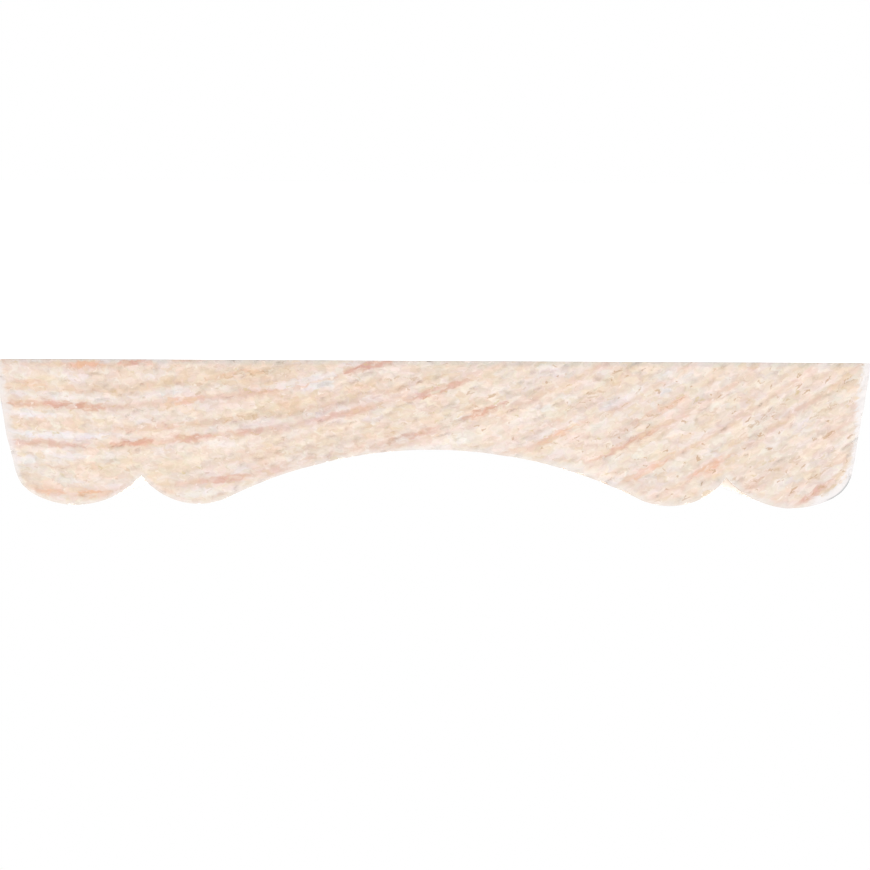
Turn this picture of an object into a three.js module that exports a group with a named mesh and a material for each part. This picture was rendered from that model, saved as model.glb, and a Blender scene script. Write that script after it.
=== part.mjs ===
// Decorative moulding strip of planed pine, in millimetres, +Z up.
// It lies on its flat back at Z = 0 with the moulded face up. Its length runs along Y and its
// width along X, with the origin at the middle of the back.
// From each edge inward the face has a flank, a rounded shoulder, an outer bead, a V groove and
// an inner bead, and one wide cove joins the two inner beads.

import * as THREE from 'three';

// The strip as a whole, cut square at both ends
const stripLength = 1000;
const backWidth = 60;
const thickness = 10;

// Flanks lean inward from the edges of the back, up to a shoulder just below the bead's crest
const flankLean = THREE.MathUtils.degToRad(9.5);
const shoulderRadius = 2.6;
const shoulderDrop = 0.4;

// Steps inward across the face: back edge, outer crest, groove, inner crest
const edgeToOuterCrest = 5.4;
const outerCrestToGroove = 4.5;
const grooveToInnerCrest = 3.9;

// Depths below the outer crests, which are the highest lines of the strip
const grooveDepth = 2.1;
const innerCrestDrop = 0.1;
const coveDepth = 3.9;

// Largest gap between an arc of the profile and its chords
const chordError = 0.004;

const quarterTurn = Math.PI / 2;

// The circle whose highest point is the crest and which passes through a lower point
function circleUnder(crest, point) {
	const drop = crest.y - point.y;
	const radius = (crest.x - point.x) ** 2 / (2 * drop) + drop / 2;
	return { centre: new THREE.Vector2(crest.x, crest.y - radius), radius };
}

// The shoulder's circle touches the flank from inside, its top a little below the bead's crest
function shoulderCircle() {
	const height = thickness - shoulderDrop - shoulderRadius;
	const flankAtHeight = backWidth / 2 - height * Math.tan(flankLean);
	const across = flankAtHeight - shoulderRadius / Math.cos(flankLean);
	return { centre: new THREE.Vector2(across, height), radius: shoulderRadius };
}

// The circle whose highest point is the crest and which holds the shoulder's circle, touching it
function browCircle(crest, shoulder) {
	const across = shoulder.centre.x - crest.x;
	const down = crest.y - shoulder.centre.y;
	const radius = (across ** 2 + down ** 2 - shoulder.radius ** 2) / (2 * shoulderDrop);
	return { centre: new THREE.Vector2(crest.x, crest.y - radius), radius };
}

// The circle whose lowest point is the cove's crown and which touches the inner bead from outside
function coveCircle(crown, bead) {
	const up = bead.centre.y - crown.y;
	const radius = (bead.centre.x ** 2 + up ** 2 - bead.radius ** 2) / (2 * (up + bead.radius));
	return { centre: new THREE.Vector2(crown.x, crown.y + radius), radius };
}

// Angle of the direction from one point to another
function direction(from, to) {
	return Math.atan2(to.y - from.y, to.x - from.x);
}

// Points along an arc, from its start up to but not including its end
function arcPoints({ centre, radius }, start, end) {
	const step = 2 * Math.acos(1 - chordError / radius);
	const chords = Math.ceil(Math.abs(end - start) / step);
	return Array.from({ length: chords }, (_, i) => {
		const angle = start + (end - start) * i / chords;
		return new THREE.Vector2(Math.cos(angle), Math.sin(angle)).multiplyScalar(radius).add(centre);
	});
}

// One half of the profile, from the edge of the back to just short of the cove's crown
function halfProfile(crown) {
	const backEdge = new THREE.Vector2(backWidth / 2, 0);
	const outerCrest = new THREE.Vector2(backEdge.x - edgeToOuterCrest, thickness);
	const groove = new THREE.Vector2(outerCrest.x - outerCrestToGroove, thickness - grooveDepth);
	const innerCrest = new THREE.Vector2(groove.x - grooveToInnerCrest, thickness - innerCrestDrop);

	const shoulder = shoulderCircle();
	const brow = browCircle(outerCrest, shoulder);
	const outerBead = circleUnder(outerCrest, groove);
	const innerBead = circleUnder(innerCrest, groove);
	const cove = coveCircle(crown, innerBead);

	const browStart = direction(brow.centre, shoulder.centre);
	const beadEnd = direction(innerBead.centre, cove.centre);
	const coveStart = direction(cove.centre, innerBead.centre);
	return [
		backEdge,
		...arcPoints(shoulder, flankLean, browStart),
		...arcPoints(brow, browStart, quarterTurn),
		...arcPoints(outerBead, quarterTurn, direction(outerBead.centre, groove)),
		...arcPoints(innerBead, direction(innerBead.centre, groove), beadEnd),
		...arcPoints(cove, coveStart, -quarterTurn),
	];
}

// The whole profile: one half, the cove's crown, and the same half mirrored
function profile() {
	const crown = new THREE.Vector2(0, thickness - coveDepth);
	const half = halfProfile(crown);
	const mirrored = half.map((point) => new THREE.Vector2(-point.x, point.y)).reverse();
	return new THREE.Shape([...half, crown, ...mirrored]);
}

const pine = new THREE.MeshStandardMaterial({ color: 0xf0ddce, roughness: 0.75, metalness: 0 });

const strip = new THREE.Mesh(
	new THREE.ExtrudeGeometry(profile(), { depth: stripLength, steps: 1, bevelEnabled: false }),
	pine,
);
strip.name = 'moulding_strip';
strip.rotation.x = quarterTurn;
strip.position.y = stripLength / 2;

const model = new THREE.Group();
model.add(strip);

export default model;
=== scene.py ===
import math

import bpy
import numpy as np
from mathutils import Matrix, Vector
from mathutils.kdtree import KDTree


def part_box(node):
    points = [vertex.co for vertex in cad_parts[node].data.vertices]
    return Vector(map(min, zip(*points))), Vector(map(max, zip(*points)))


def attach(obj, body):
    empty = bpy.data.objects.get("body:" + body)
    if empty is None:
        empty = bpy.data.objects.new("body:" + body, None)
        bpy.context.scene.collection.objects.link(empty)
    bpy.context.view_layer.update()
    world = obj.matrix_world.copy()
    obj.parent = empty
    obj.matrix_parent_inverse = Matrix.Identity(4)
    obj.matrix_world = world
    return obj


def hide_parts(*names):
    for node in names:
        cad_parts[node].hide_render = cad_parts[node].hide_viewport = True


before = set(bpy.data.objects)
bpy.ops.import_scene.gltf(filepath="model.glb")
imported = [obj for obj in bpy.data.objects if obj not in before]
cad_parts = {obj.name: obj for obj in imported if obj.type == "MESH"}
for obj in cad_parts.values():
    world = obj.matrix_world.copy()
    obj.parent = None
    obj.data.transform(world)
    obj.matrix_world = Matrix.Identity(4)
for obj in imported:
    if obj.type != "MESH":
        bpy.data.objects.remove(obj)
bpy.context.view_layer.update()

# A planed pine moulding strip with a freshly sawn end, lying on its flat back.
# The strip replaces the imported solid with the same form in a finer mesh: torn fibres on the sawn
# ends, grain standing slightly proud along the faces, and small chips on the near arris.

NODE = "moulding_strip"
MM = 0.001
low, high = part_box(NODE)
WIDTH = high.x - low.x
NEAR, FAR = low.y, high.y

# Where the strip lies in the photograph, in its pixels
PHOTO_SIDE = 870
PHOTO_BACK_WIDTH = 873.5
PHOTO_BACK_MIDDLE = Vector((434.0, 360.45))
PHOTO_TILT = math.radians(0.287)
PIXEL = WIDTH / PHOTO_BACK_WIDTH

# Growth rings, in millimetres: the pith lies under the back, and each ring ends in a line of
# dark latewood. The radii are those lines, from the innermost in the strip to the outermost.
PITH_X, PITH_Z = 23.6, -67.3
LATEWOOD_RADII = (64.7, 67.65, 70.5, 73.1, 76.2, 79.1, 81.8, 84.0, 85.85, 88.45, 91.15, 93.6)
MEAN_RADIUS = 76.0

# The pith strays from its place as the strip goes on: how far, in millimetres, and how fast it
# swings, in radians a metre
DRIFT_ACROSS, SWING_ACROSS = 2.2, 2.6
DRIFT_UP, SWING_UP = 1.8, 3.7

# Waves in the rings: height, and length round the pith and along the strip, all in millimetres
RING_WAVES = ((0.1, 5.3, 210), (0.05, 2.1, -95))


# Smooth random values between 0 and 1, from a seeded lattice
LATTICE = 256


def value_noise(u, v, seed):
    """Random values on a square lattice, smoothly joined between its points."""
    table = np.random.default_rng(seed).random((LATTICE, LATTICE))
    iu, iv = np.floor(u).astype(int), np.floor(v).astype(int)
    fu, fv = u - iu, v - iv
    fu, fv = fu * fu * (3 - 2 * fu), fv * fv * (3 - 2 * fv)
    a, b = iu % LATTICE, iv % LATTICE
    c, d = (iu + 1) % LATTICE, (iv + 1) % LATTICE
    return (
        table[a, b] * (1 - fu) * (1 - fv) + table[c, b] * fu * (1 - fv)
        + table[a, d] * (1 - fu) * fv + table[c, d] * fu * fv
    )


def smoothstep(x, start, end):
    """0 up to start, 1 from end on, and smooth between."""
    t = np.clip((x - start) / (end - start), 0, 1)
    return t * t * (3 - 2 * t)


# The growth of the tree, as the mesh needs it. The materials repeat it in nodes.

def pith_drift(y):
    """How far the pith has strayed from its place at the near end, in millimetres."""
    along = (y - NEAR / MM) / 1000
    return DRIFT_ACROSS * np.sin(SWING_ACROSS * along), DRIFT_UP * np.sin(SWING_UP * along)


def ring_position(x, y, z):
    """Radius from the pith and distance round it, in millimetres, and how far through its ring."""
    dx, dz = pith_drift(y)
    across, up = x - PITH_X - dx, z - PITH_Z - dz
    radius = np.hypot(across, up)
    tangent = np.arctan2(across, up) * MEAN_RADIUS
    for wave, length_round, length_along in RING_WAVES:
        radius = radius + wave * np.sin(tangent / length_round + y / length_along)
    ring = np.interp(radius, LATEWOOD_RADII, np.arange(len(LATEWOOD_RADII)))
    return radius, tangent, ring % 1


# The strip's mesh: how many steps it has across the back or the face, up a flank, and across an
# outer bead from its shoulder to the V groove
ACROSS = 440
UP = 64
OUTER_BEAD_STEPS = 76
TOUCH = 1e-6
SMOOTH_BELOW = math.radians(50)
VALLEY_TURN = math.radians(30)


def cad_outline():
    """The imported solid's profile as (x, z) rows, from one edge of the back over the face to the other."""
    points = np.array([v.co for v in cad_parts[NODE].data.vertices])
    section = points[points[:, 1] < NEAR + TOUCH][:, [0, 2]]
    face = np.unique(np.round(section[section[:, 1] > TOUCH], 7), axis=0)
    return np.vstack([[low.x, 0], face, [high.x, 0]]) / MM


def resample(points, count):
    """count equal steps along a run of points, with the last one left out."""
    steps = np.hypot(*np.diff(points, axis=0).T)
    along = np.concatenate([[0], np.cumsum(steps)])
    at = np.linspace(0, along[-1], count, endpoint=False)
    return np.column_stack([np.interp(at, along, points[:, k]) for k in (0, 1)])


def profile_sides():
    """Back, right flank, face and left flank as (x, z) rows in millimetres.

    They run anticlockwise as seen from the near end, and each has its last point left out.
    """
    outline = cad_outline()
    top = outline[1:-1]
    notch = [i for i in range(1, len(top) - 1) if sharp_valley(top[i - 1:i + 2])]
    runs = (top[:notch[0] + 1], top[notch[0]:notch[1] + 1], top[notch[1]:])
    counts = (OUTER_BEAD_STEPS, ACROSS - 2 * OUTER_BEAD_STEPS, OUTER_BEAD_STEPS)
    face = np.vstack([resample(run, count) for run, count in zip(runs, counts)] + [top[-1:]])
    back = resample(np.array([outline[0], outline[-1]]), ACROSS)
    right = resample(np.array([outline[-1], outline[-2]]), UP)
    left = resample(np.array([outline[1], outline[0]]), UP)
    return back, right, face[:0:-1], left


def sharp_valley(three):
    """True where the outline turns up sharply, as in the bottom of a V groove."""
    before, after = three[1] - three[0], three[2] - three[1]
    turn = math.atan2(before[0] * after[1] - before[1] * after[0], before @ after)
    return turn > VALLEY_TURN


FULLER_FLANK = 0.23


def as_planed(loop):
    """The profile as it left the planer: the flank on +X is a little fuller than the other."""
    x, z = loop.T
    half_way_up = smoothstep(z, 0, 2.5) * (1 - smoothstep(z, 4.6, 8.2))
    return np.column_stack([x + FULLER_FLANK * smoothstep(x, 26, 28.5) * half_way_up, z])


def outward(loop):
    """Unit normals of a closed loop of (x, z) rows that runs anticlockwise."""
    run = np.roll(loop, -1, axis=0) - np.roll(loop, 1, axis=0)
    normal = np.column_stack([run[:, 1], -run[:, 0]])
    return normal / np.linalg.norm(normal, axis=1, keepdims=True)


# Chips on the near arris: where across, half their width and their depth, in millimetres
CHIPS = (
    (-18.8, 0.45, 0.34), (-17.4, 0.3, 0.08), (-13.2, 0.4, 0.1), (-11.7, 0.35, 0.12),
    (-10.1, 0.45, 0.1), (-8.9, 0.3, 0.09), (6.4, 0.35, 0.07), (24.9, 0.4, 0.06),
)
CHIP_REACH = 1.1
CHIP_FLAT_SHARE = 0.35
CHIPPED_ABOVE = 3
RAGGED_DEPTH, RAGGED_LENGTH = 0.03, 0.35

# How far the fine relief stands out, in millimetres: raised latewood and the planer's marks on the
# long faces; torn fibres, pits and the saw's marks on the ends
RAISED_GRAIN, PLANER_RIPPLE, PLANER_WAVE = 0.022, 0.02, 0.03
TUFTS, HAIRS, PITS, FIRM_LATEWOOD, SAW_MARKS = 0.07, 0.05, 0.12, 0.02, 0.008


def chip_depth(loop):
    """How far the arris has broken away at each point of the loop."""
    x, z = loop.T
    on_face = z > CHIPPED_ABOVE
    noise = value_noise(x / RAGGED_LENGTH, z / RAGGED_LENGTH, 11)
    broken = RAGGED_DEPTH * smoothstep(noise, 0.55, 0.95) * on_face
    for place, half_width, depth in CHIPS:
        near = 1 - smoothstep(np.abs(x - place), CHIP_FLAT_SHARE * half_width, half_width)
        broken = np.maximum(broken, depth * near * on_face)
    return broken


def face_relief(loop, y):
    """How far each point of a long face stands proud of the profile, in millimetres."""
    x, z = loop.T
    _, tangent, phase = ring_position(x, y, z)
    latewood = smoothstep(phase, 0.6, 0.95) * (1 - smoothstep(phase, 0.97, 1.0))
    ripple = value_noise(tangent / 1.3 + 40, np.full_like(x, y / 60), 3) - 0.5
    wave = value_noise(x / 9 + 20, np.full_like(x, y / 45), 5) - 0.5
    proud = RAISED_GRAIN * latewood + PLANER_RIPPLE * ripple + PLANER_WAVE * wave
    return np.where(z < 0.05, -np.abs(proud) * 0.2, proud)


def end_relief(x, y, z):
    """Height of the torn fibres of a sawn end, in millimetres; pits are negative."""
    radius, tangent, phase = ring_position(x, y, z)
    latewood = smoothstep(phase, 0.8, 0.92)
    tufts = value_noise(tangent / 0.75 + 60, radius / 0.32, 7) - 0.5
    hairs = value_noise(tangent / 0.3 + 90, radius / 0.17, 8) - 0.5
    pits = smoothstep(value_noise(tangent / 0.55 + 30, radius / 0.3, 9), 0.7, 0.95)
    saw = np.sin(x * 2.4 + z * 0.7) * SAW_MARKS
    torn = TUFTS * tufts + HAIRS * hairs - PITS * pits * (1 - latewood)
    return torn + FIRM_LATEWOOD * latewood + saw


def coons(back, right, face, left):
    """A grid of (x, z) rows that fills the profile, from its four sides with both ends given."""
    u = np.linspace(0, 1, len(back))[:, None, None]
    v = np.linspace(0, 1, len(left))[None, :, None]
    across = (1 - v) * back[:, None] + v * face[:, None]
    upward = (1 - u) * left[None] + u * right[None]
    corners = (
        (1 - u) * (1 - v) * back[0] + u * (1 - v) * back[-1]
        + (1 - u) * v * face[0] + u * v * face[-1]
    )
    return across + upward - corners


def end_grid(ring, step):
    """The grid inside the loop of points round one end, which has every step-th point."""
    n, m = ACROSS // step, UP // step
    back, right = ring[:n + 1], ring[n:n + m + 1]
    face = ring[n + m:2 * n + m + 1][::-1]
    left = np.vstack([ring[2 * n + m:], ring[:1]])[::-1]
    return coons(back, right, face, left)


# The mesh's material slots
PLANED, SAWN = 0, 1


class MeshBuilder:
    """Collects rows of points and the faces between them."""

    def __init__(self):
        self.points, self.faces, self.slots, self.count = [], [], [], 0

    def add(self, xyz):
        """Adds points, in millimetres, and returns their numbers."""
        self.points.append(xyz)
        self.count += len(xyz)
        return np.arange(self.count - len(xyz), self.count)

    def cover(self, faces, slot):
        """Adds faces, as rows of point numbers, in one material slot."""
        self.faces.extend(faces.tolist())
        self.slots.extend([slot] * len(faces))

    def band(self, a, b):
        """Joins two loops with as many points, b lying further along +Y."""
        a2, b2 = np.roll(a, -1), np.roll(b, -1)
        self.cover(np.column_stack([a, b, b2, a2]), PLANED)

    def thin_out(self, fine, coarse, fine_first):
        """Joins a loop to one with half its points, on its +Y side if the fine one comes first."""
        f0, f1, f2 = fine[::2], fine[1::2], np.roll(fine[::2], -1)
        c0, c1 = coarse, np.roll(coarse, -1)
        for triangle in ((c0, f1, f0), (c0, c1, f1), (c1, f2, f1)):
            columns = np.column_stack(triangle)
            self.cover(columns if fine_first else columns[:, ::-1], PLANED)


class StripBuilder(MeshBuilder):
    """Builds the strip from loops of points that follow its profile."""

    def __init__(self):
        super().__init__()
        self.profile = as_planed(np.vstack(profile_sides()))
        self.normal = outward(self.profile)
        self.chips = chip_depth(self.profile)

    def section(self, y, step, broken=0.0):
        """Every step-th point of the profile at y, with its relief and a share of the chips."""
        at = self.profile[::step]
        shift = face_relief(at, y) - self.chips[::step] * broken
        moved = at + self.normal[::step] * shift[:, None]
        moved[:, 1] = np.maximum(moved[:, 1], 0)
        return moved

    def loop(self, y, step, broken=0.0):
        """Adds the section at y."""
        x, z = self.section(y, step, broken).T
        return self.add(np.column_stack([x, np.full_like(x, y), z]))

    def end_points(self, places, y, facing):
        """Adds points of a sawn end, raised by its torn fibres; facing is 1 towards +Y, else -1."""
        x, z = places.T
        return self.add(np.column_stack([x, y + facing * end_relief(x, y, z), z]))

    def join(self, loops):
        """Joins each loop to the next one along +Y."""
        for a, b in zip(loops, loops[1:]):
            self.band(a, b)


# Distances of the loops from the near end, in millimetres: the first ones have every point of the
# profile, the next ones every second. The rest are evenly spaced and have every fourth.
FINE_LOOPS = (0.16, 0.4, 0.8, 1.5)
HALF_LOOPS = (2.6, 4.5)
LOOP_SPACING = 6.6
FAR_LOOPS = (1.5, 0.16)


def strip_mesh():
    """The whole strip as one closed mesh."""
    build = StripBuilder()
    near, far = NEAR / MM, FAR / MM

    near_section = build.section(near, 1, broken=1.0)
    fine = [build.end_points(near_section, near, -1)]
    for distance in FINE_LOOPS:
        fine.append(build.loop(near + distance, 1, 1 - smoothstep(distance, 0, CHIP_REACH)))
    half = [build.loop(near + distance, 2) for distance in HALF_LOOPS]

    start, end = near + HALF_LOOPS[-1] + LOOP_SPACING / 2, far - HALF_LOOPS[0]
    stations = np.linspace(start, end, round((end - start) / LOOP_SPACING) + 1)
    rough = [build.loop(y, 4) for y in stations]

    far_section = build.section(far, 2)
    last = [build.loop(far - distance, 2) for distance in FAR_LOOPS]
    last.append(build.end_points(far_section, far, 1))

    for loops in (fine, half, rough, last):
        build.join(loops)
    build.thin_out(fine[-1], half[0], fine_first=True)
    build.thin_out(half[-1], rough[0], fine_first=True)
    build.thin_out(last[0], rough[-1], fine_first=False)
    close_end(build, near_section, fine[0], 1, near, -1)
    close_end(build, far_section, last[-1], 2, far, 1)

    mesh = bpy.data.meshes.new("pine_strip")
    mesh.from_pydata((np.vstack(build.points) * MM).tolist(), [], build.faces)
    mesh.polygons.foreach_set("material_index", build.slots)
    mesh.polygons.foreach_set("use_smooth", [True] * len(build.faces))
    mesh.set_sharp_from_angle(angle=SMOOTH_BELOW)
    mesh.validate()
    mark_edge(mesh, np.vstack([near_section[ACROSS:], near_section[:1]]))
    return mesh


EDGE_SAMPLES = 4000
EDGE_DISTANCE = "edge_distance"


def mark_edge(mesh, moulded_edge):
    """Stores on each vertex how far inside the flanks and the face it lies, in millimetres."""
    tree = KDTree(EDGE_SAMPLES)
    for i, (x, z) in enumerate(resample(moulded_edge, EDGE_SAMPLES)):
        tree.insert((x, 0, z), i)
    tree.balance()
    places = [(v.co.x / MM, 0, v.co.z / MM) for v in mesh.vertices]
    distances = [tree.find(place)[2] for place in places]
    mesh.attributes.new(EDGE_DISTANCE, "FLOAT", "POINT").data.foreach_set("value", distances)


def close_end(build, section, edge, step, y, facing):
    """Closes one end with a grid whose rim is the end's own loop of points."""
    n, m = ACROSS // step, UP // step
    numbers = np.zeros((n + 1, m + 1), int)
    inner = end_grid(section, step)[1:-1, 1:-1].reshape(-1, 2)
    numbers[1:-1, 1:-1] = build.end_points(inner, y, facing).reshape(n - 1, m - 1)
    numbers[:n, 0] = edge[:n]
    numbers[n, :m] = edge[n:n + m]
    numbers[n:0:-1, m] = edge[n + m:2 * n + m]
    numbers[0, m:0:-1] = edge[2 * n + m:]
    quads = np.stack(
        [numbers[:-1, :-1], numbers[1:, :-1], numbers[1:, 1:], numbers[:-1, 1:]], axis=-1
    ).reshape(-1, 4)
    build.cover(quads if facing < 0 else quads[:, ::-1], SAWN)


# Materials

# The light that falls on the near end and on the long faces, as a share of the light that makes a
# white surface just white. Colours are given as they look, and divided by it.
LIGHT_ON_END = 1.48
LIGHT_ON_FACE = 1.54


def srgb(seen, light):
    """The linear colour that looks like three 8-bit values in a light."""

    def linear(c):
        c = c / 255
        return c / 12.92 if c <= 0.04045 else ((c + 0.055) / 1.055) ** 2.4

    return tuple(linear(c) / light for c in seen) + (1.0,)


class Nodes:
    """A short way to write shader nodes: each method adds some and returns their output."""

    def __init__(self, tree):
        self.tree = tree

    def put(self, kind, inputs=(), **settings):
        """Adds a node of a kind, with its inputs linked or set, and returns the node itself."""
        node = self.tree.nodes.new(kind)
        for name, value in settings.items():
            setattr(node, name, value)
        for key, value in dict(inputs).items():
            if isinstance(value, bpy.types.NodeSocket):
                self.tree.links.new(value, node.inputs[key])
            else:
                node.inputs[key].default_value = value
        return node

    def math(self, operation, a, b=0.0):
        return self.put("ShaderNodeMath", {0: a, 1: b}, operation=operation).outputs[0]

    def add(self, *terms):
        total = terms[0]
        for term in terms[1:]:
            total = self.math("ADD", total, term)
        return total

    def times(self, *factors):
        product = factors[0]
        for factor in factors[1:]:
            product = self.math("MULTIPLY", product, factor)
        return product

    def minus(self, a, b):
        return self.math("SUBTRACT", a, b)

    def vector(self, x, y, z):
        return self.put("ShaderNodeCombineXYZ", {0: x, 1: y, 2: z}).outputs[0]

    def step(self, value, start, end):
        """0 below start, 1 above end, smooth between; start may be the larger."""
        node = self.put(
            "ShaderNodeMapRange", {"Value": value}, interpolation_type="SMOOTHSTEP", clamp=True
        )
        node.inputs["From Min"].default_value = start
        node.inputs["From Max"].default_value = end
        return node.outputs[0]

    def noise(self, vector, scale=1.0, detail=2.0, roughness=0.5):
        """Smooth noise between 0 and 1, mostly near 0.5."""
        return self.put("ShaderNodeTexNoise", {
            "Vector": vector, "Scale": scale, "Detail": detail, "Roughness": roughness,
        }).outputs[0]

    def cells(self, vector):
        """Random patches: three values between 0 and 1, the same all over each patch."""
        found = self.put("ShaderNodeTexVoronoi", {"Vector": vector, "Scale": 1.0})
        split = self.put("ShaderNodeSeparateColor", {0: found.outputs["Color"]})
        return split.outputs[0], split.outputs[1], split.outputs[2]

    def mix(self, factor, a, b):
        node = self.put("ShaderNodeMix", {0: factor}, data_type="RGBA", clamp_factor=True)
        for index, colour in ((6, a), (7, b)):
            if isinstance(colour, bpy.types.NodeSocket):
                self.tree.links.new(colour, node.inputs[index])
            else:
                node.inputs[index].default_value = colour
        return node.outputs[2]

    def shade(self, colour, amount, tint):
        """Moves a colour along a tint by an amount, in proportion to the colour itself."""
        move = self.put(
            "ShaderNodeVectorMath", {0: tint, "Scale": amount}, operation="SCALE"
        ).outputs[0]
        return self.put(
            "ShaderNodeVectorMath", {0: colour, 1: move, 2: colour}, operation="MULTIPLY_ADD"
        ).outputs[0]

    def ramp(self, value, stops):
        """Colours at places between 0 and 1, joined up; past the last it returns to the first."""
        node = self.put("ShaderNodeValToRGB", {0: value})
        band = node.color_ramp
        for _ in range(len(stops) - 1):
            band.elements.new(0.5)
        for element, (place, colour) in zip(band.elements, stops + [(1.0, stops[0][1])]):
            element.position = place
            element.color = colour
        return node.outputs[0]

    def curve(self, value, points):
        """A piecewise straight curve through points between 0 and 1."""
        node = self.put("ShaderNodeFloatCurve", {"Value": value})
        line = node.mapping.curves[0]
        for x, y in points[1:-1]:
            line.points.new(x, y)
        for point, (x, y) in zip(line.points, points):
            point.location = (x, y)
            point.handle_type = "VECTOR"
        node.mapping.update()
        return node.outputs[0]


RING_WANDER = 0.35


def metres_along(g, y):
    """Distance from the near end, in metres, from y in millimetres."""
    return g.times(g.minus(y, NEAR / MM), MM)


def growth_nodes(g):
    """The same rings as ring_position, in nodes, with a fine wander on top.

    Returns x, y and z in millimetres, the radius, the distance round the pith, how far through its
    ring a point is, and the ring's number.
    """
    place = g.put("ShaderNodeTexCoord").outputs["Object"]
    split = g.put("ShaderNodeSeparateXYZ", {0: place})
    x, y, z = (g.times(axis, 1 / MM) for axis in split.outputs)
    along = metres_along(g, y)
    dx = g.times(g.math("SINE", g.times(along, SWING_ACROSS)), DRIFT_ACROSS)
    dz = g.times(g.math("SINE", g.times(along, SWING_UP)), DRIFT_UP)
    across = g.minus(g.minus(x, PITH_X), dx)
    up = g.minus(g.minus(z, PITH_Z), dz)
    plain = g.math("SQRT", g.add(g.times(across, across), g.times(up, up)))
    tangent = g.times(g.math("ARCTAN2", across, up), MEAN_RADIUS)
    radius = plain
    for wave, length_round, length_along in RING_WAVES:
        angle = g.add(g.times(tangent, 1 / length_round), g.times(y, 1 / length_along))
        radius = g.add(radius, g.times(g.math("SINE", angle), wave))
    wander = g.minus(g.noise(g.vector(tangent, g.times(y, 0.02), plain), 0.7, 3.0), 0.5)
    radius = g.add(radius, g.times(wander, RING_WANDER))
    first, last = LATEWOOD_RADII[0], LATEWOOD_RADII[-1]
    rings = len(LATEWOOD_RADII) - 1
    share = g.times(g.minus(radius, first), 1 / (last - first))
    points = [((r - first) / (last - first), i / rings) for i, r in enumerate(LATEWOOD_RADII)]
    ring = g.times(g.curve(share, points), rings)
    phase = g.math("FRACT", ring)
    number = g.math("FLOOR", ring)
    return x, y, z, radius, tangent, phase, number


# Strength of the shine on the ends and on the long faces, and the wood's index of refraction
SAWN_SPECULAR = 0.5
PLANED_SPECULAR = 0.25
WOOD_IOR = 1.45


def shader(g, colour, roughness, height, bump_strength, specular):
    """The principled shader, with bump from a height in millimetres, and the material's output."""
    bump = g.put("ShaderNodeBump", {"Strength": bump_strength, "Distance": MM, "Height": height})
    surface = g.put("ShaderNodeBsdfPrincipled", {
        "Base Color": colour, "Roughness": roughness, "Normal": bump.outputs[0],
        "IOR": WOOD_IOR, "Specular IOR Level": specular,
    })
    g.put("ShaderNodeOutputMaterial", {"Surface": surface.outputs[0]})


def new_material(name):
    """An empty material and the nodes to fill it with."""
    material = bpy.data.materials.new(name)
    material.use_nodes = True
    material.node_tree.nodes.clear()
    return material, Nodes(material.node_tree)


# Strokes along the rings of the near end, as seen in the photograph: the radius, where each starts
# and stops round the pith, both in millimetres, and its strength
RED_STROKES = (
    (67.56, -4.7, -1.9, 0.95), (67.72, -9.2, -6.8, 0.4), (70.5, -0.9, 1.6, 1.0), (70.35, 1.2, 3.6, 1.0),
    (70.45, 3.8, 6.0, 0.6), (70.35, -22.6, -19.0, 1.0), (73.1, 0.6, 5.8, 0.6), (73.0, -4.7, -1.7, 1.0),
    (73.15, -8.8, -5.5, 0.8), (73.15, -12.6, -10.2, 0.6), (73.1, -21.0, -15.6, 0.45),
    (73.2, -27.6, -22.9, 0.85), (76.15, -10.9, -7.6, 0.8), (76.0, -13.8, -11.0, 0.35),
    (75.7, -24.2, -20.6, 0.6), (75.6, -29.4, -26.0, 0.95), (81.7, -38.0, -33.4, 0.8),
    (91.1, -45.0, -42.6, 0.8),
)
ORANGE_STROKES = (
    (67.54, -1.0, 1.6, 1.0), (70.5, -8.6, -5.6, 0.6), (76.4, -1.4, 1.1, 1.0), (76.4, 1.8, 3.6, 0.8),
    (79.05, -32.8, -30.1, 0.8), (78.95, -29.2, -27.3, 0.5), (83.9, -38.0, -34.2, 0.7),
    (85.75, -40.8, -38.0, 0.8), (69.1, -13.2, -9.0, 0.5),
    (80.75, -40.6, -36.0, 0.55), (69.0, 3.2, 5.8, 0.5), (72.1, -7.0, -1.2, 0.4),
)
BROWN_FLECKS = (
    (84.9, -47.0, -40.5, 0.9), (82.65, -41.6, -40.4, 0.8), (86.9, -48.6, -46.0, 0.8),
    (88.3, -47.2, -46.0, 0.9), (88.2, -43.2, -40.6, 0.9), (90.3, -45.8, -44.3, 0.8),
    (91.1, -45.4, -42.6, 0.9), (80.8, -40.6, -33.8, 0.7), (72.15, -19.2, -7.4, 0.7),
    (69.2, -16.0, -9.0, 0.8), (74.9, -18.0, -9.0, 0.4), (77.7, -38.0, -30.0, 0.6),
)
PALE_STROKES = (
    (69.75, -1.0, 6.0, 0.8), (69.75, -9.0, -3.0, 0.5), (71.1, 2.8, 6.4, 0.9), (72.45, -1.6, 6.2, 1.0),
    (70.3, -18.8, -12.6, 0.9), (70.85, -18.6, -15.6, 0.9), (73.9, 0.6, 2.4, 0.7), (74.3, 2.0, 5.8, 0.6),
    (79.6, -41.4, -38.6, 0.9), (78.9, -37.8, -34.5, 0.5), (76.9, -9.5, -5.8, 0.5), (72.5, -14.5, -9.0, 0.3),
)
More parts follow.
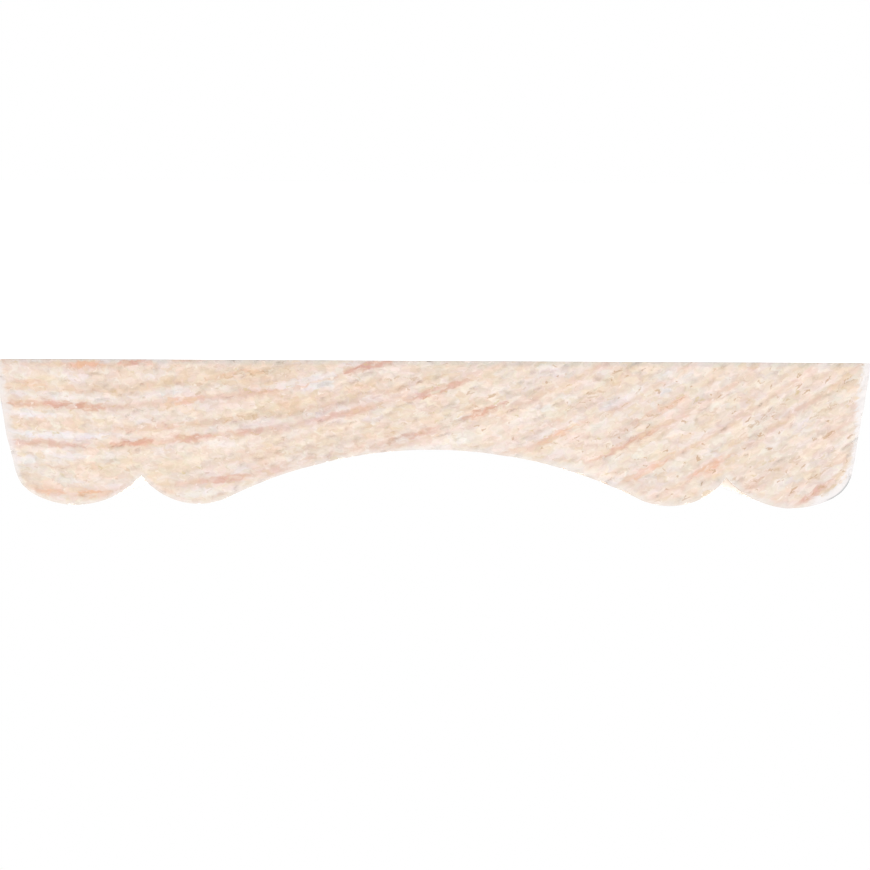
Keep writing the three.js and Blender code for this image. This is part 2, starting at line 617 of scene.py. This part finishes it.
FAINT_LINES = (
    (72.35, -26.5, -12.0, 0.8), (72.2, -10.5, -5.0, 0.7), (69.25, -10.0, 4.0, 0.5),
    (75.65, -26.0, -11.0, 0.8), (76.0, -33.0, -29.2, 0.8), (73.15, -22.0, -9.0, 0.4),
    (70.5, -14.0, -1.0, 0.6), (81.85, -44.5, -37.5, 0.8), (83.95, -45.0, -38.5, 0.7),
    (85.8, -50.0, -41.5, 0.8), (78.2, -36.0, -29.0, 0.5), (74.5, 0.0, 5.0, 0.5),
    (74.8, -29.5, -24.5, 0.7), (79.2, -37.0, -33.0, 0.6), (76.1, -38.0, -34.0, 0.5),
)
STROKE_HALF_HEIGHT = 0.26

# How the wood's colour goes through one ring, from just outside a line of latewood to the next
RING_TONES = (
    (0.0, (233, 207, 192)), (0.05, (238, 215, 201)), (0.11, (242, 223, 209)), (0.25, (244, 229, 216)),
    (0.42, (242, 224, 208)), (0.56, (238, 218, 199)), (0.67, (238, 219, 203)), (0.79, (243, 228, 218)),
    (0.89, (242, 224, 213)), (0.97, (234, 208, 194)),
)
MEAN_TONE = (239, 220, 205)

# How a colour moves, as shares of its linear red, green and blue, for one step of noise. Layers and
# broad bands turn from straw to white as they get lighter, straw bands most of all. Middle and fine
# flecks only get lighter. The last two tints turn a colour warmer and pinker.
LAYER_TINT = (0.0026, 0.0058, 0.0088)
STRAW_TINT = (0.0010, 0.0042, 0.0112)
BROAD_TINT = (0.0036, 0.0060, 0.0080)
MIDDLE_TINT = (0.0052, 0.0058, 0.0066)
FINE_TINT = (0.0062, 0.0058, 0.0058)
HUE_TINT = (0.0062, 0.0012, -0.0062)
PINK_TINT = (0.0038, -0.0082, 0.0044)
NOISE_SPREAD = 0.088

# Colours of the near end as they look in the photograph
THIN_LATEWOOD = (230, 190, 168)
FAINT_LATEWOOD = (222, 190, 170)
RED_LATEWOOD = (219, 166, 146)
ORANGE_LATEWOOD = (235, 183, 150)
PALE_BAND = (243, 239, 241)
SPECK = (196, 158, 122)
STRAW_TUFT = (230, 203, 163)
OLIVE_TUFT = (212, 190, 130)
# Painted highlight: small glints on torn fibres
GLINT = (254, 240, 230)
# Painted shade: a greyer line along the arris of the back, where it meets the floor
BACK_ARRIS_SHADE = (218, 212, 206)
# Painted highlight along the moulded edge
EDGE_HIGHLIGHT = (241, 236, 231)
PALER_FLANK = (243, 237, 237)
# Painted highlight: the brightly lit -X flank, seen edge-on
LIT_FLANK_HIGHLIGHT = (246, 242, 242)
# Painted shade: a dark line for the shoulder's long face in shade
SHOULDER_SHADE = (150, 156, 158)

# The flanks and the shoulder on the -X side, in millimetres, along which a painted highlight and a painted
# shade line run
FLANK_LEAN = math.radians(9.5)
SHOULDER_Z, SHOULDER_RADIUS = 7.0, 2.6
SHOULDER_X = (
    SHOULDER_Z * math.tan(FLANK_LEAN) + SHOULDER_RADIUS / math.cos(FLANK_LEAN) - WIDTH / MM / 2
)

# Where looks change over the near end: where each change starts and where it is full, in
# millimetres across, up, or inward from the edge
LEFT_SIDE_X = (-14.0, 12.0)
PALER_X = (-6.0, -16.0)
DARKER_X = (14.0, 6.0)
# The painted shade along the back arris, up from the back
BACK_ARRIS_SHADE_Z = (0.42, 0.12)
# The painted highlight along the moulded edge, inward from it
EDGE_HIGHLIGHT_IN = (0.34, 0.03)
PALER_FLANK_X, PALER_FLANK_LEAN = (29.55, 29.95), 0.17
# Painted highlight on the -X flank and painted shade line round its shoulder
LIT_FLANK_X = (-25.5, -26.5)
SHOULDER_SHADE_X = (-26.7, -27.4)
SHOULDER_SHADE_Z = (7.5, 8.3)
SHOULDER_SHADE_IN = (0.14, 0.05)

# The band of painted highlight for the lit -X flank, which narrows to a waist half way up the flank
LIT_FLANK_WIDTH, LIT_FLANK_BLUR = 0.5, 0.15
WAIST_DEPTH = 0.3
WAIST_FROM_Z, WAIST_TO_Z = (2.5, 5.0), (7.6, 6.8)

# How fast the noise of the end grain, and the strokes' place round the pith, change along the strip
NOISE_A_METRE = 9.0
STROKE_SHIFT_A_METRE = 37.0


def flank_distance(g, x, z):
    """Distance inward from the -X flank and shoulder, in millimetres."""
    level = g.add(x, WIDTH / MM / 2, g.times(z, -math.tan(FLANK_LEAN)))
    flank = g.times(level, math.cos(FLANK_LEAN))
    across = g.math("MINIMUM", g.minus(x, SHOULDER_X), 0.0)
    up = g.math("MAXIMUM", g.minus(z, SHOULDER_Z), 0.0)
    arc = g.minus(SHOULDER_RADIUS, g.math("SQRT", g.add(g.times(across, across), g.times(up, up))))
    above = g.math("GREATER_THAN", z, SHOULDER_Z)
    return g.add(g.times(flank, g.minus(1.0, above)), g.times(arc, above))


def stroke_mask(g, strokes, tangent, radius, fray):
    """1 on the strokes of a list and 0 off them, with frayed outlines."""
    mask = 0.0
    for ring, start, stop, strength in strokes:
        along = g.times(g.minus(tangent, (start + stop) / 2), 2 / (stop - start))
        out = g.times(g.minus(radius, ring), 1 / STROKE_HALF_HEIGHT)
        away = g.add(g.times(along, along), g.times(out, out), fray)
        mask = g.math("MAXIMUM", g.times(g.step(away, 1.7, 0.1), strength), mask)
    return mask


class EndGrain:
    """Where each point of a sawn end lies in the tree, and the colour that is built up there."""

    def __init__(self, g):
        self.g = g
        self.x, y, self.z, self.radius, self.tangent, self.phase, _ = growth_nodes(g)
        along = metres_along(g, y)
        self.depth = g.times(along, NOISE_A_METRE)

        # Fibres torn by the saw fray every outline a little
        jog, jump = self.fluff(1.8, 3.0, 41.0), self.fluff(1.8, 3.0, 43.0)
        self.tangent = g.add(self.tangent, g.times(jog, 0.12))
        self.radius = g.add(self.radius, g.times(jump, 0.04))
        self.fray = self.fluff(2.2, 5.0, 17.0, detail=3.0)

        # The strokes stand elsewhere on the far end, and the tufts lean across the rings
        self.stroke_tangent = g.add(self.tangent, g.times(along, STROKE_SHIFT_A_METRE))
        self.leaning = g.add(self.radius, g.times(self.tangent, 0.2))

        # The photograph's left is towards +X, and its right towards -X
        self.left = g.step(self.x, *LEFT_SIDE_X)
        self.right = g.minus(1.0, self.left)

    def fluff(self, across, out, seed, detail=2.0, lean=0.0):
        """Noise round and out from the pith, about 0 with a spread of 1. It may lean."""
        g = self.g
        outward = g.times(g.add(self.radius, g.times(self.tangent, lean)), out)
        place = g.vector(g.times(self.tangent, across), outward, g.add(self.depth, seed))
        return g.times(g.minus(g.noise(place, 1.0, detail), 0.5), 1 / NOISE_SPREAD)

    def patches(self, across, out, seed, lean=0.0):
        """Noise drawn together into light and dark patches, between -0.5 and 0.5."""
        noise = self.fluff(across, out, seed, lean=lean)
        return self.g.minus(self.g.step(noise, -0.7, 0.7), 0.5)

    def strokes(self, placed, raggedness):
        """1 on the strokes of a list and 0 off them, frayed by the torn fibres."""
        fray = self.g.times(self.fray, raggedness)
        return stroke_mask(self.g, placed, self.stroke_tangent, self.radius, fray)

    def shade(self, tint, *factors):
        """Moves the colour along a tint by the product of the factors."""
        self.colour = self.g.shade(self.colour, self.g.times(*factors), tint)

    def lay(self, seen, *factors):
        """Lays another colour over the wood, as strongly as the product of the factors."""
        self.colour = self.g.mix(self.g.times(*factors), self.colour, srgb(seen, LIGHT_ON_END))

    def rings(self):
        """The rings themselves, clearest towards +X, where the saw tore them least."""
        g = self.g
        stops = [(at, srgb(seen, LIGHT_ON_END)) for at, seen in RING_TONES]
        clearness = g.add(0.42, g.times(self.left, 0.21))
        self.colour = g.mix(clearness, srgb(MEAN_TONE, LIGHT_ON_END), g.ramp(self.phase, stops))

    def layers(self):
        """Light and dark layers drawn out along the rings, then shorter and finer ones."""
        g = self.g
        self.shade(LAYER_TINT, self.fluff(0.05, 1.0, 45.0), g.add(0.5, g.times(self.right, 2.0)))
        self.shade(STRAW_TINT, self.fluff(0.13, 0.5, 47.0), 2.3)
        self.shade(LAYER_TINT, self.fluff(0.2, 1.25, 2.0), g.add(2.4, self.left))
        self.shade(LAYER_TINT, self.patches(0.65, 1.3, 7.0, lean=0.25), 13.0)
        self.shade(BROAD_TINT, self.patches(1.9, 1.9, 9.0, lean=0.4), 11.0)
        across, out = g.times(self.tangent, 0.7), g.times(self.leaning, 1.2)
        patch, self.warmth, self.pinkness = g.cells(g.vector(across, out, g.add(self.depth, 3.0)))
        self.shade(MIDDLE_TINT, g.minus(patch, 0.5), 10.0)

    def trend(self):
        """Slow changes over the whole end: a little darker in the middle, and paler towards -X."""
        g = self.g
        slow = g.times(self.fluff(0.05, 0.12, 11.0), 3.4)
        paler = g.times(g.step(self.x, *PALER_X), 5.2)
        darker = g.times(g.step(self.x, *DARKER_X), -1.6)
        self.shade(LAYER_TINT, g.add(slow, paler, darker))

    def back_arris_shade(self):
        """Painted shade along the arris of the back, where the end meets the floor."""
        self.lay(BACK_ARRIS_SHADE, self.g.step(self.z, *BACK_ARRIS_SHADE_Z), 0.6)

    def latewood(self):
        """Faint broken lines on every ring, and the strokes that stand out."""
        g = self.g
        line = g.math("MAXIMUM", g.step(self.phase, 0.89, 0.98), g.step(self.phase, 0.1, 0.03))
        broken = g.step(self.fluff(0.35, 0.5, 19.0), -0.3, 1.6)
        body = g.step(self.fluff(1.1, 3.0, 21.0, detail=3.0), -2.4, 0.6)
        self.lay(THIN_LATEWOOD, line, broken, g.add(0.2, g.times(self.left, 0.15)))
        self.lay(FAINT_LATEWOOD, self.strokes(FAINT_LINES, 0.4), body, 0.6)
        self.lay(PALE_BAND, self.strokes(PALE_STROKES, 0.24), 0.7)
        self.lay(RED_LATEWOOD, self.strokes(RED_STROKES, 0.24), body, 0.82)
        self.lay(ORANGE_LATEWOOD, self.strokes(ORANGE_STROKES, 0.24), body, 0.8)

    def hues(self):
        """Warmer and cooler, pinker and greener patches."""
        self.shade(HUE_TINT, self.g.minus(self.warmth, 0.5), 6.5)
        self.shade(HUE_TINT, self.patches(0.6, 0.9, 13.0), 5.5)
        self.shade(HUE_TINT, self.fluff(1.6, 2.0, 15.0), 0.6)
        self.shade(PINK_TINT, self.g.minus(self.pinkness, 0.5), 3.2)
        self.shade(PINK_TINT, self.patches(2.0, 2.0, 33.0), 3.2)

    def flecks(self):
        """Flecks that lean across the rings, most of all on the -X side, and brown specks."""
        g = self.g
        long_way = g.add(g.times(self.tangent, 0.66), g.times(self.radius, -0.75))
        short_way = g.add(g.times(self.tangent, 0.75), g.times(self.radius, 0.66))
        place = g.vector(g.times(long_way, 1.1), g.times(short_way, 2.5), self.depth)
        self.fleck = g.times(g.minus(g.noise(place), 0.5), 1 / NOISE_SPREAD)
        self.shade(MIDDLE_TINT, self.fleck, g.add(4.2, g.times(self.right, 1.4)))

        specks = g.step(g.add(g.times(self.fleck, 0.8), self.fluff(2.4, 2.8, 31.0)), 1.9, 3.1)
        specks = g.times(specks, g.add(0.35, g.times(self.right, 0.35)))
        torn = g.step(g.add(self.fleck, self.fray), -0.2, 1.6)
        brown = g.times(self.strokes(BROWN_FLECKS, 0.5), torn, 0.8)
        self.lay(SPECK, g.math("MAXIMUM", specks, brown))

    def tufts(self):
        """Torn tufts, some straw-coloured, painted glints where fibres catch the light, and the finest
        fibres.
        """
        g = self.g
        across, out = g.times(self.tangent, 1.8), g.times(self.leaning, 3.0)
        shade, hue, chance = g.cells(g.vector(across, out, self.depth))
        self.tuft = g.minus(shade, 0.5)
        self.shade(MIDDLE_TINT, self.tuft, 8.0)
        self.lay(STRAW_TUFT, g.step(hue, 0.92, 0.97), 0.3)
        olive = g.times(g.step(chance, 0.96, 0.98), g.step(self.fluff(1.9, 3.6, 27.0), 0.3, 1.8))
        self.lay(OLIVE_TUFT, olive, 0.5)
        # Painted glints: small highlights where torn fibres catch the light
        self.lay(GLINT, g.step(self.fluff(2.2, 3.2, 23.0), 1.5, 2.6), 0.7)
        self.shade(FINE_TINT, self.fluff(4.0, 6.0, 29.0), 1.7)

    def moulded_edge(self):
        """Painted highlight along the moulded edge, where loose fibre ends catch the light, most widely
        towards -X.
        """
        g = self.g
        inside = g.put("ShaderNodeAttribute", attribute_name=EDGE_DISTANCE).outputs["Fac"]
        inside = g.times(inside, g.minus(1.0, g.times(self.right, 0.4)))
        inside = g.add(inside, g.times(self.fray, 0.02))
        self.lay(EDGE_HIGHLIGHT, g.step(inside, *EDGE_HIGHLIGHT_IN), 0.52)

    def flanks(self):
        """A paler edge down the +X flank; on the other, a painted highlight for the lit flank and a painted
        shade line round its shoulder.
        """
        g, x, z = self.g, self.x, self.z
        faded = g.add(x, g.times(z, PALER_FLANK_LEAN), g.times(self.fray, 0.1))
        self.lay(PALER_FLANK, g.step(faded, *PALER_FLANK_X), 0.55)

        # Painted highlight standing in for the lit -X flank
        edge = flank_distance(g, x, z)
        narrower = g.times(g.step(z, *WAIST_FROM_Z), g.step(z, *WAIST_TO_Z), WAIST_DEPTH)
        past = g.minus(edge, g.minus(LIT_FLANK_WIDTH, narrower))
        whitish = g.step(g.add(past, g.times(self.fray, 0.09)), LIT_FLANK_BLUR, -LIT_FLANK_BLUR)
        self.lay(LIT_FLANK_HIGHLIGHT, whitish, g.step(x, *LIT_FLANK_X), 0.85)
        # Painted shade: a dark line round the shoulder, for its long face in shade
        round_shoulder = g.times(g.step(z, *SHOULDER_SHADE_Z), g.step(x, *SHOULDER_SHADE_X))
        self.lay(SHOULDER_SHADE, g.step(edge, *SHOULDER_SHADE_IN), round_shoulder, 0.6)


def sawn_pine():
    """End grain: fuzzy cream wood with broken lines of reddish latewood and pale bands inside them."""
    material, g = new_material("sawn_pine")
    end = EndGrain(g)
    end.rings()
    end.layers()
    end.trend()
    end.back_arris_shade()
    end.latewood()
    end.hues()
    end.flecks()
    end.tufts()
    end.moulded_edge()
    end.flanks()
    height = g.add(g.times(end.fleck, 0.006), g.times(end.fray, 0.006), g.times(end.tuft, 0.02))
    roughness = g.add(0.7, g.times(end.tuft, 0.15))
    shader(g, end.colour, roughness, height, 0.5, SAWN_SPECULAR)
    return material


# Colours of the long faces, for which the photograph has nothing but the wood of the end
CREAM_WOOD, HONEY_WOOD = (244, 224, 199), (239, 214, 187)
PLANED_LATEWOOD = (214, 160, 120)
DARK_FIBRE, LIGHT_FIBRE = (227, 192, 159), (250, 237, 219)
RESIN_DUCT = (182, 134, 98)
KNIFE_SPACING = 1.6


def planed_pine():
    """Long grain: the same rings drawn out along the strip, planed smooth."""
    material, g = new_material("planed_pine")
    _, y, _, radius, tangent, phase, number = growth_nodes(g)

    def tone(seen):
        return srgb(seen, LIGHT_ON_FACE)

    def drawn_out(across, along):
        """Places stretched along the strip, for patterns that follow the grain."""
        return g.vector(g.times(tangent, across), g.times(y, along), g.times(radius, across))

    slow = g.times(y, 0.012)
    broad = g.noise(g.vector(g.times(tangent, 0.12), slow, g.times(radius, 0.3)), 1.0, 3.0)
    colour = g.mix(g.step(broad, 0.35, 0.65), tone(CREAM_WOOD), tone(HONEY_WOOD))

    # Latewood darkens slowly through each ring and ends sharply, stronger in some places
    late = g.times(g.step(phase, 0.35, 0.93), g.step(phase, 1.0, 0.975))
    late = g.math("POWER", late, 2.6)
    vigour = g.noise(g.vector(g.times(tangent, 0.1), g.times(number, 5.0), slow))
    strength = g.add(0.5, g.times(g.step(vigour, 0.3, 0.7), 0.45))
    colour = g.mix(g.times(late, strength), colour, tone(PLANED_LATEWOOD))

    fibre = g.noise(drawn_out(3.0, 0.05), 1.0, 4.0, 0.65)
    colour = g.mix(g.times(g.step(fibre, 0.5, 0.75), 0.3), colour, tone(DARK_FIBRE))
    colour = g.mix(g.times(g.step(fibre, 0.5, 0.3), 0.3), colour, tone(LIGHT_FIBRE))

    # Resin ducts cut along their length show as fine brown streaks
    _, _, chance = g.cells(drawn_out(3.6, 0.07))
    duct = g.step(chance, 0.985, 0.992)
    colour = g.mix(g.times(duct, 0.5), colour, tone(RESIN_DUCT))

    knives = g.math("SINE", g.times(y, 2 * math.pi / KNIFE_SPACING))
    fibre = g.minus(fibre, 0.5)
    height = g.add(g.times(fibre, 0.05), g.times(late, 0.02))
    height = g.add(height, g.times(knives, 0.0025), g.times(duct, -0.03))
    roughness = g.add(0.52, g.times(fibre, 0.2), g.times(late, -0.08))
    shader(g, colour, roughness, height, 0.7, PLANED_SPECULAR)
    return material


strip = bpy.data.objects.new("pine_moulding_strip", strip_mesh())
bpy.context.scene.collection.objects.link(strip)
strip.data.materials.append(planed_pine())
strip.data.materials.append(sawn_pine())
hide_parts(NODE)
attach(strip, "root")


# The floor, the camera and the light

# Half the floor's side, and how far below the strip it lies, in metres
FLOOR_HALF = 60.0
FLOOR_DROP = 0.01 * MM


def floor():
    """A plain matt white floor, wide enough for the far views."""
    mesh = bpy.data.meshes.new("floor")
    corners = [(-1, -1), (1, -1), (1, 1), (-1, 1)]
    points = [(x * FLOOR_HALF, y * FLOOR_HALF, -FLOOR_DROP) for x, y in corners]
    mesh.from_pydata(points, [], [(0, 1, 2, 3)])
    made = bpy.data.objects.new("floor", mesh)
    bpy.context.scene.collection.objects.link(made)
    material, g = new_material("white_floor")
    diffuse = g.put("ShaderNodeBsdfDiffuse", {"Color": (0.9, 0.9, 0.9, 1.0)})
    g.put("ShaderNodeOutputMaterial", {"Surface": diffuse.outputs[0]})
    mesh.materials.append(material)


# A long lens from 2.5 m off, because the photograph shows almost nothing of the long faces
LENS = 1500.0
SENSOR = 36.0
CAMERA_HEIGHT = 0.5 * MM


def camera():
    """Looks level along the strip from just above the floor.

    It is turned half round, so that the back is at the top of the picture as in the photograph.
    """
    data = bpy.data.cameras.new("camera")
    data.lens = LENS
    data.sensor_width = SENSOR
    data.clip_start = 0.1
    data.clip_end = 200.0
    made = bpy.data.objects.new("camera", data)
    bpy.context.scene.collection.objects.link(made)
    right = Vector((-math.cos(PHOTO_TILT), 0, -math.sin(PHOTO_TILT)))
    up = Vector((math.sin(PHOTO_TILT), 0, -math.cos(PHOTO_TILT)))
    centre = Vector(((PHOTO_SIDE - 1) / 2, (PHOTO_SIDE - 1) / 2)) - PHOTO_BACK_MIDDLE
    aim = Vector((0, NEAR, 0)) + (right * centre.x - up * centre.y) * PIXEL
    distance = PHOTO_SIDE * PIXEL * LENS / SENSOR
    made.location = (aim.x, NEAR - distance, CAMERA_HEIGHT)
    forward = (aim - made.location).normalized()
    across = (right - forward * right.dot(forward)).normalized()
    made.matrix_world = Matrix.Translation(made.location) @ Matrix(
        (across, across.cross(forward), -forward)
    ).transposed().to_4x4()
    bpy.context.scene.camera = made


def sun(name, towards, radiance, spread):
    """Soft light from far off; radiance is what it adds to a white surface that faces it."""
    data = bpy.data.lights.new(name, "SUN")
    data.energy = radiance * math.pi
    data.angle = math.radians(spread)
    made = bpy.data.objects.new(name, data)
    bpy.context.scene.collection.objects.link(made)
    made.rotation_euler = Vector(towards).to_track_quat("-Z", "Y").to_euler()


def light():
    """A white room with three soft suns, of which the front one brightens the near end."""
    world = bpy.data.worlds.new("white_room")
    world.use_nodes = True
    background = world.node_tree.nodes["Background"]
    background.inputs["Color"].default_value = (1.0, 1.0, 1.0, 1.0)
    background.inputs["Strength"].default_value = 1.0
    bpy.context.scene.world = world
    sun("key", (0.75, 0.35, -0.8), 0.45, 40)
    sun("front", (-0.5, 0.9, -0.45), 0.305, 40)
    sun("back", (0.1, -0.95, -0.12), 0.35, 30)
    bpy.context.scene.view_settings.view_transform = "Standard"


floor()
camera()
light()
